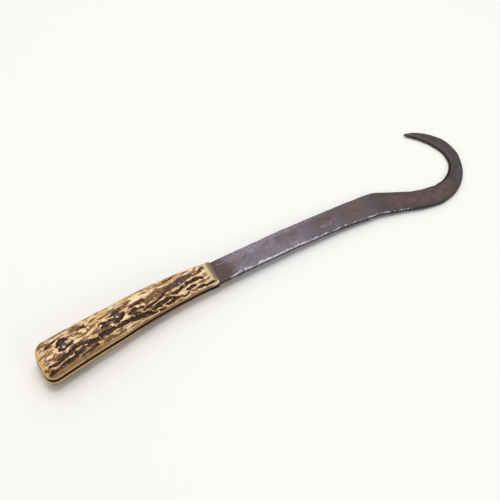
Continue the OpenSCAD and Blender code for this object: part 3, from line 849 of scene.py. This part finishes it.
def middle_at(run):
    """x and y of the bar's middle line in metres, and its heading in radians."""
    x = handle_front + min(run, STRAIGHT) * MM
    place = Vector((x, (np.interp(x, tang_x, tang_low) + np.interp(x, tang_x, tang_high)) / 2))
    left, heading = run - STRAIGHT, 0.0
    for length, turn, _ in BENDS:
        part = min(left, length)
        if part <= 0:
            break
        swing = math.radians(turn * part / length)
        chord = part if swing == 0 else part * math.sin(swing / 2) / (swing / 2)
        place += Vector((math.cos(heading + swing / 2), math.sin(heading + swing / 2))) * chord * MM
        heading += swing
        left -= part
    off = np.interp(run, *zip(*TRUE_TO)) * MM
    return place.x - off * math.sin(heading), place.y + off * math.cos(heading), heading


# %% [markdown]
# ## The section
# Across the bar, the outer corner is worn round, and the inner edge is a plain chamfer that grows
# into the cutting bevel from the heel of the hook on. Columns of the net are packed round both, so
# that the edges stay crisp.

# %% Section
CORNER_ANGLES = np.radians([0, 30, 60, 90])
FLAT_COLUMNS, BEVEL_COLUMNS = 18, 5
CLOSE_COLUMNS = (0.12, 0.3)
FREE_STEP = 0.6
TANG_STATIONS = 90


def section(run):
    """Distances across the bar and heights over its middle plane, from outer to inner edge."""
    width, thick = bar_width(run), bar_thickness(run)
    share = min(1, max(0, (run - ground_from) / (ground_full - ground_from)))
    corner = TANG_EDGE_BREAK if run < 0 else min(EDGE_BREAK, width / 5)
    ground = corner + (min(BEVEL_WIDTH, width * 0.6) - corner) * share
    rim = thick / 2 - corner
    edge = rim + (CUTTING_EDGE / 2 - rim) * share
    flat_from, flat_to = -width / 2 + corner, width / 2 - ground
    close = [min(c, (flat_to - flat_from) / 8) for c in CLOSE_COLUMNS]
    flat = np.linspace(flat_from + close[1], flat_to - close[1], FLAT_COLUMNS)
    flat = np.concatenate([[flat_from + close[0]], flat, [flat_to - close[0]]])
    bevel = np.linspace(0, 1, BEVEL_COLUMNS)
    across = (flat_from - corner * np.cos(CORNER_ANGLES), flat, flat_to + ground * bevel)
    height = (rim + corner * np.sin(CORNER_ANGLES), np.full(len(flat), thick / 2),
              thick / 2 + (edge - thick / 2) * bevel)
    return np.concatenate(across), np.concatenate(height)


stations = np.concatenate([
    -tang_length * np.sin(np.linspace(math.pi / 2, 0, TANG_STATIONS))[:-1],
    np.linspace(0, STRAIGHT + hook_length, int((STRAIGHT + hook_length) / FREE_STEP)),
])
widths = np.array([bar_width(run) for run in stations])
thicknesses = np.array([bar_thickness(run) for run in stations])
middle_line = np.array([middle_at(run) for run in stations])
print(len(stations), "stations along the bar; point at", np.round(middle_line[-1, :2] / MM, 1), "mm")

# %% [markdown]
# ## The straight bar
# The grid operator lays the net, each row of it takes the section of its station, and the mirror
# operator adds the underside. Bridging the two rims closes the bar. Three straight cutters then
# drill the tang for its pins, as a smith would before bending.

# %% Straight bar
PIN_HOLE = 2.9
CUTTER_SIDES = 32


def straight_bar():
    """The bar before it is bent, in millimetres along, across and up."""
    sections = [section(run) for run in stations]
    rows, columns = len(sections) - 1, len(sections[0][0]) - 1
    bm = bmesh.new()
    bmesh.ops.create_grid(bm, x_segments=rows, y_segments=columns, size=1)
    for v in bm.verts:
        row, column = round((v.co.x + 1) / 2 * rows), round((v.co.y + 1) / 2 * columns)
        across, height = sections[row]
        v.co = (stations[row], across[column], height[column])
    bmesh.ops.mirror(bm, geom=bm.verts[:] + bm.edges[:] + bm.faces[:], merge_dist=1e-6, axis="Z")
    wall = bmesh.ops.bridge_loops(bm, edges=[e for e in bm.edges if e.is_boundary])
    bmesh.ops.subdivide_edges(bm, edges=wall["edges"], cuts=2, use_grid_fill=True)
    bmesh.ops.recalc_face_normals(bm, faces=bm.faces)
    return bm


def pin_cutters():
    """Three upright cylinders where the pins cross the straight tang."""
    bm = bmesh.new()
    for axis in pin_axes:
        run = (axis.x - handle_front) / MM
        across = (axis.y - middle_at(run)[1]) / MM
        bmesh.ops.create_cone(bm, cap_ends=True, segments=CUTTER_SIDES, radius1=PIN_HOLE / 2,
                              radius2=PIN_HOLE / 2, depth=4 * STEM_THICK,
                              matrix=Matrix.Translation((run, across, 0)))
    return loose_object(bm, "pin_cutters")


cutters = pin_cutters()
bar = worked(straight_bar(), "bar", "BOOLEAN", operation="DIFFERENCE", solver="EXACT", object=cutters)
bpy.data.objects.remove(cutters)
open_edges = sum(not e.is_manifold for e in bar.edges)
print("bar:", len(bar.faces), "faces,", open_edges, "open edges")

# %% [markdown]
# ## Wear, rust and the fire's colours
# Old carbon steel goes brown where damp sits and grey-blue where hands and cloths keep it clean.
# On this bar the stem has both in turn, its outer edge is worn bright, and the hook is brown all
# over with darker edges. These are placed like the antler's markings, as strokes with half widths
# in millimetres: first the distance along the bar, then the distance from its outer edge.

# %% Steel masks
RUSTY = [
    [(5, 10, 3), (12, 9, 4), (21, 9, 4)],
    [(33, 10, 1), (38, 11, 1.2)],
    [(46, 11, 4), (53, 9, 4.5), (60, 11, 3.5)],
    [(68, 11, 3.5), (76, 9, 4.5), (86, 9, 4.5)],
    [(95, 8.5, 4.5), (107, 9, 5)],
    [(127, 9, 4), (150, 8, 6), (172, 7, 6)],
]
BLUISH = [
    [(26, 7, 2.5), (34, 6, 1.5)],
    [(20, 3, 1.5), (46, 3.5, 1.5)],
    [(58, 6, 3), (68, 9, 4)],
    [(62, 3, 1.5), (90, 3, 1.5)],
]
PITTED = [
    [(7, 13, 2), (20, 12, 3), (34, 13, 2)],
    [(8, 14, 1.6), (34, 14.4, 1.6), (60, 14.6, 1.2), (84, 15, .8)],
    [(78, 6, 1.5), (90, 8, 1.5)],
    [(52, 3, 1), (60, 3, .8)],
]
SECOND_SCRATCH = [[(60, 3.3, .1), (78, 2.8, .15), (92, 2.2, .1)]]
WORN_FROM, WORN_TO, WORN_AGAIN = (5, 16), (70, 88), (98, 112)
WEAR_NARROWS, THIN_WEAR_TO = (66, 50), (156, 128)
BY_HANDLE, DARK_NECK, DARK_HOOK = (18, 6), (46, 84), (96, 134)
OUTER_RIM, INNER_RIM = (1.1, 0.35), (0.7, 0.2)
HONED_FROM, HONED_TO, HONED_EDGE = (198, 206), (222, 216), (1.6, 0.9)


def steel_masks(run, across, height, width, thick):
    """Stains, wear and painted shade of the steel. All arguments are in mm, on the straight bar."""
    outer_gap, inner_gap = across + width / 2, width / 2 - across
    ragged = waves(run, outer_gap, 2.6, 1.2, 51)
    face = ease(0.45, 0.8, np.abs(height) / (thick / 2))
    sparkle = waves(run, outer_gap, 0.9, 0.7, 52)
    reach = 0.7 + 0.4 * ragged + 0.4 * sparkle
    reach = reach + 0.5 * ease(*WORN_FROM, run) * ease(*WEAR_NARROWS, run)
    worn = ease(0.5, -0.6, outer_gap - reach) * ease(*WORN_FROM, run + 6 * ragged)
    worn = worn * (0.8 + 0.7 * sparkle + 0.4 * ragged) * ease(*THIN_WEAR_TO, run)
    worn = worn * (1 - 0.5 * ease(*WORN_TO, run) + 0.2 * ease(*WORN_AGAIN, run))
    hook = ease(*DARK_HOOK, run)
    wobble = run + 3 * ragged
    patchy = 0.85 + 0.3 * waves(run, outer_gap, 4, 3, 53) + 0.3 * sparkle
    scratch = 0.5 * cover(SECOND_SCRATCH, wobble, outer_gap, 0.5)
    honed = ease(*HONED_FROM, run) * ease(*HONED_TO, run)
    return {
        "rusty": cover(RUSTY, wobble, outer_gap, 8) * patchy,
        "bluish": cover(BLUISH, wobble, outer_gap, 8),
        "pitted": cover(PITTED, wobble, outer_gap, 4),
        "worn": np.maximum(worn, scratch) * face,
        # The side walls: dark oxide, with painted shade over it.
        "wall": 1 - face,
        "dark_neck": ease(*DARK_NECK, run),
        "dark_hook": hook,
        "dark_rim": hook * ease(*OUTER_RIM, outer_gap) + 0.8 * ease(*INNER_RIM, inner_gap),
        "honed": honed * ease(*HONED_EDGE, inner_gap) * face,
        "by_handle": ease(*BY_HANDLE, run + 2 * ragged),
        # The tang's edge: grime, with painted shade of its groove.
        "tang": ease(0, -0.4, run),
    }


# %% [markdown]
# ## Hammering and bending
# A forged face is never flat: broad, shallow dents from the hammer catch the light unevenly, and
# the edges wander by a tenth or two of a millimetre. Both fade out in the tang, which has to fit
# between the scales. The bend then carries each point to its place.

# %% Bent blade
BROAD_DENT, SMALL_DENT, EDGE_WANDER = 0.08, 0.03, 0.16
BROAD_GRAIN, SMALL_GRAIN, WANDER_GRAIN = 9, 3.5, 6


def hammered_and_bent(bm):
    """Stores the masks of the straight bar, dents it and bends it into the hook."""
    run, across, height = places_of(bm).T
    width = np.interp(run, stations, widths)
    thick = np.interp(run, stations, thicknesses)
    store_masks(bm, steel_masks(run, across, height, width, thick))
    free = ease(0, 3, run)
    spots = np.column_stack([run, across, height])
    dent = BROAD_DENT * np.abs(noise_at(spots, BROAD_GRAIN, 41))
    dent = dent + SMALL_DENT * np.abs(noise_at(spots, SMALL_GRAIN, 42))
    wander = EDGE_WANDER * noise_at(spots * (1, 0.2, 0.2), WANDER_GRAIN, 43)
    side = across + free * wander * across / (width / 2)
    up = height * (1 - free * dent / (thick / 2))
    x, y, heading = (np.interp(run, stations, line) for line in middle_line.T)
    bent = np.column_stack([x - side * MM * np.sin(heading), y + side * MM * np.cos(heading),
                            blade_height + up * MM])
    for v, place in zip(bm.verts, bent):
        v.co = place
    print("bent bar is", np.round(np.ptp(bent, axis=0) / MM, 1), "mm long, wide and high")


hammered_and_bent(bar)

# %% [markdown]
# ## Forged carbon steel
# A forged blade isn't a mirror: its skin is a thin dark oxide, brown where it has rusted, that
# glosses over with handling. It keeps some of the metal's reflection but scatters it. Where the
# oxide is rubbed off, the bare steel shows much brighter and smoother. Pits from old rust are
# about half a millimetre across. The side walls are nearly black, oxide with painted shade over it.
# The tang's edge is caked with grime, so it isn't metallic, and its dark red-brown is also painted
# shade of the narrow groove between the scales.

# %% Steel material
OXIDE_METAL = 0.6
SLEEK_OXIDE, DULL_OXIDE, RUBBED_STEEL = 0.42, 0.6, 0.38
BLOTCH = 2.2 * MM
PIT, PIT_DEPTH = 0.6 * MM, 0.1 * MM


def forged_steel():
    """Brown-grey patina, pits, and bare steel along the worn edge."""
    material, tree, shader = fresh_material("forged_carbon_steel")
    rust = stained(tree, "#6B5048", [
        (3.6, 0.4, 0.65, 1, "#574440"),
        (0.9, 0.55, 0.75, 0.4, "#755F59"),
    ])
    skin = stained(tree, "#7A727F", [
        (7.0, 0.42, 0.62, 0.7, "#71666D"),
        (1.7, 0.46, 0.64, 0.6, "#655A5F"),
        (1.2, 0.5, 0.68, 0.6, "#8D8598"),
        ("dark_neck", 0.1, 0.9, 0.9, "#5B5156"),
        ("dark_hook", 0.1, 0.9, 0.9, "#4A3F3F"),
        ("rusty", 0.1, 1.2, 0.75, rust),
        ("bluish", 0.1, 1.2, 0.5, "#6C6C7C"),
        ("by_handle", 0.1, 0.9, 0.8, "#564543"),
        (4.0, 0.46, 0.6, 0.3, "#645A66"),
        ("by_handle", 0.8, 1.0, 0.5, "#40352F"),
    ])
    flecks = stained(tree, skin, [(0.5, 0.5, 0.62, 0.75, "#A89DB3")])
    skin = stained(tree, skin, [
        ("pitted", 0.2, 1.0, 1, flecks),
        ("dark_rim", 0.2, 0.9, 0.85, "#3B3A3B"),
        ("honed", 0.2, 0.9, 0.6, "#8E8B90"),
        ("worn", 0.25, 0.7, 0.85, "#BDB8C6"),
        # Side walls: oxide and painted shade. Tang's edge: grime and painted shade of its groove.
        ("wall", 0.2, 0.7, 1.0, "#241E1C"),
        ("tang", 0.4, 0.6, 1, "#3A1C0E"),
    ])
    tree.links.new(skin, shader.inputs["Base Color"])
    tang = add(tree, "Attribute", out="Fac", attribute_name="tang")
    metal = add(tree, "MapRange", {"Value": tang, "To Min": OXIDE_METAL, "To Max": 0.0})
    tree.links.new(metal, shader.inputs["Metallic"])

    worn = add(tree, "Attribute", out="Fac", attribute_name="worn")
    where = add(tree, "TexCoord", out="Object")
    blotch = add(tree, "TexNoise", {"Vector": where, "Scale": 1 / BLOTCH, "Detail": 3.0})
    limits = {"From Min": 0.3, "From Max": 0.7, "To Min": SLEEK_OXIDE, "To Max": DULL_OXIDE}
    dull = add(tree, "MapRange", {"Value": blotch} | limits)
    gloss = add(tree, "Mix", {0: worn, 2: dull, 3: RUBBED_STEEL}, data_type="FLOAT")
    tree.links.new(gloss, shader.inputs["Roughness"])
    fine_relief(tree, shader, PIT, PIT_DEPTH, 0.6, Roughness=0.6)
    return material


finished_piece(bar, "forged_blade", "blade", forged_steel())

# %% [markdown]
# ## Iron pins
# Each pin is a length of iron rod, hammered over at both ends until its heads fill their seats.
# The rod and heads are one profile, spun about the pin's axis. The dome is then dented a little,
# because a ball-shaped highlight would look machined.

# %% Pins
ROD = 1.4 * MM
HEAD_RIM, RIM_ROUND = 0.74 * MM, 0.14 * MM
HEAD_DOME = HEAD_RISE - HEAD_RIM
DOME_STEPS, SPIN_STEPS = 7, 40
PEEN_DENT, PEEN_GRAIN = 0.02 * MM, 1.3 * MM
# Where the painted highlight lies on each head: towards the viewer, short of the rim.
GLINT_TOWARDS = (-0.2, -0.98)
GLINT_RISES, GLINT_ENDS, RIM = (0.15, 0.65), (0.96, 0.86), (0.84, 1)


def head_profile(radius):
    """Distances from the axis and heights over the seat, from the top of the dome to the rod."""
    dome = [(radius - RIM_ROUND) * k / DOME_STEPS for k in range(DOME_STEPS + 1)]
    heights = [HEAD_RIM + HEAD_DOME * (1 - 0.9 * (r / radius) ** 2) for r in dome]
    rim = [(radius, HEAD_RIM - RIM_ROUND), (radius, RIM_ROUND / 2)]
    return list(zip(dome, heights)) + rim + [(radius - RIM_ROUND / 2, 0), (ROD, 0)]


def peened_pin(name, node, seed, material):
    """A rod with a head at each end, where the CAD pin is."""
    low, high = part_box(node)
    middle = (low + high) / 2
    radius = (high.x - low.x) / 2
    top, bottom = high.z - HEAD_RIM - HEAD_DOME, low.z + HEAD_RIM + HEAD_DOME
    head = head_profile(radius)
    profile = [(r, top + h) for r, h in head] + [(r, bottom - h) for r, h in reversed(head)]
    bm = bmesh.new()
    line = [bm.verts.new((middle.x + r, middle.y, z)) for r, z in profile]
    edges = [bm.edges.new(pair) for pair in zip(line, line[1:])]
    bmesh.ops.spin(bm, geom=line + edges, cent=middle, axis=(0, 0, 1), angle=2 * math.pi,
                   steps=SPIN_STEPS, use_merge=True)
    bmesh.ops.remove_doubles(bm, verts=bm.verts, dist=0.01 * MM)
    bmesh.ops.recalc_face_normals(bm, faces=bm.faces)
    points = places_of(bm)
    dents = np.abs(noise_at(points, PEEN_GRAIN, seed)) * PEEN_DENT
    for v, dent in zip(bm.verts, dents):
        if v.co.z > top + HEAD_RIM / 2:
            v.co.z -= dent
        elif v.co.z < bottom - HEAD_RIM / 2:
            v.co.z += dent
    offsets = (points[:, :2] - middle.xy) / radius
    from_axis = np.hypot(*offsets.T)
    # A painted highlight: a bright crescent on the dome's side towards the viewer.
    painted_glint = ease(*GLINT_RISES, offsets @ GLINT_TOWARDS) * ease(*GLINT_ENDS, from_axis)
    store_masks(bm, {"rim": ease(*RIM, from_axis), "painted_glint": painted_glint})
    finished_piece(bm, name, node, material)


# %% [markdown]
# ## Pin iron
# Wrought iron that has been struck bright and has dulled again to a purple grey. The two rear
# heads have a painted highlight, a bright crescent on the side of the dome towards the viewer.
# The front one lies in a dark hollow and has kept its stain, with only a faint painted highlight.

# %% Pin material
PIN_METAL = 0.9
HAMMER_MARK, MARK_DEPTH = 0.5 * MM, 0.03 * MM


def pin_iron(name, face, shade, glint_share, roughness):
    """Hammered iron with a dark stain round the rim, and a painted highlight on one side of the dome.
    """
    material, tree, shader = fresh_material(name)
    skin = stained(tree, face, [
        (0.9, 0.4, 0.65, 0.8, shade),
        # Painted highlight on the dome's side towards the viewer.
        ("painted_glint", 0.2, 0.9, glint_share, "#EDE6E6"),
        ("rim", 0.5, 1.0, 0.85, "#3A2F31"),
    ])
    tree.links.new(skin, shader.inputs["Base Color"])
    shader.inputs["Metallic"].default_value = PIN_METAL
    shader.inputs["Roughness"].default_value = roughness
    fine_relief(tree, shader, HAMMER_MARK, MARK_DEPTH, 0.35, Detail=2.0)
    return material


# The rear heads get a painted highlight, the front one only a faint one.
glinting_iron = pin_iron("glinting_pin_iron", "#6A5F62", "#564B4E", 0.25, 0.42)
stained_iron = pin_iron("stained_pin_iron", "#5E5256", "#4C4044", 0.1, 0.5)
for seed, (place, iron) in enumerate(zip(PLACES, (glinting_iron, glinting_iron, stained_iron)), 61):
    peened_pin(place + "_iron_pin", place + "_pin", seed, iron)
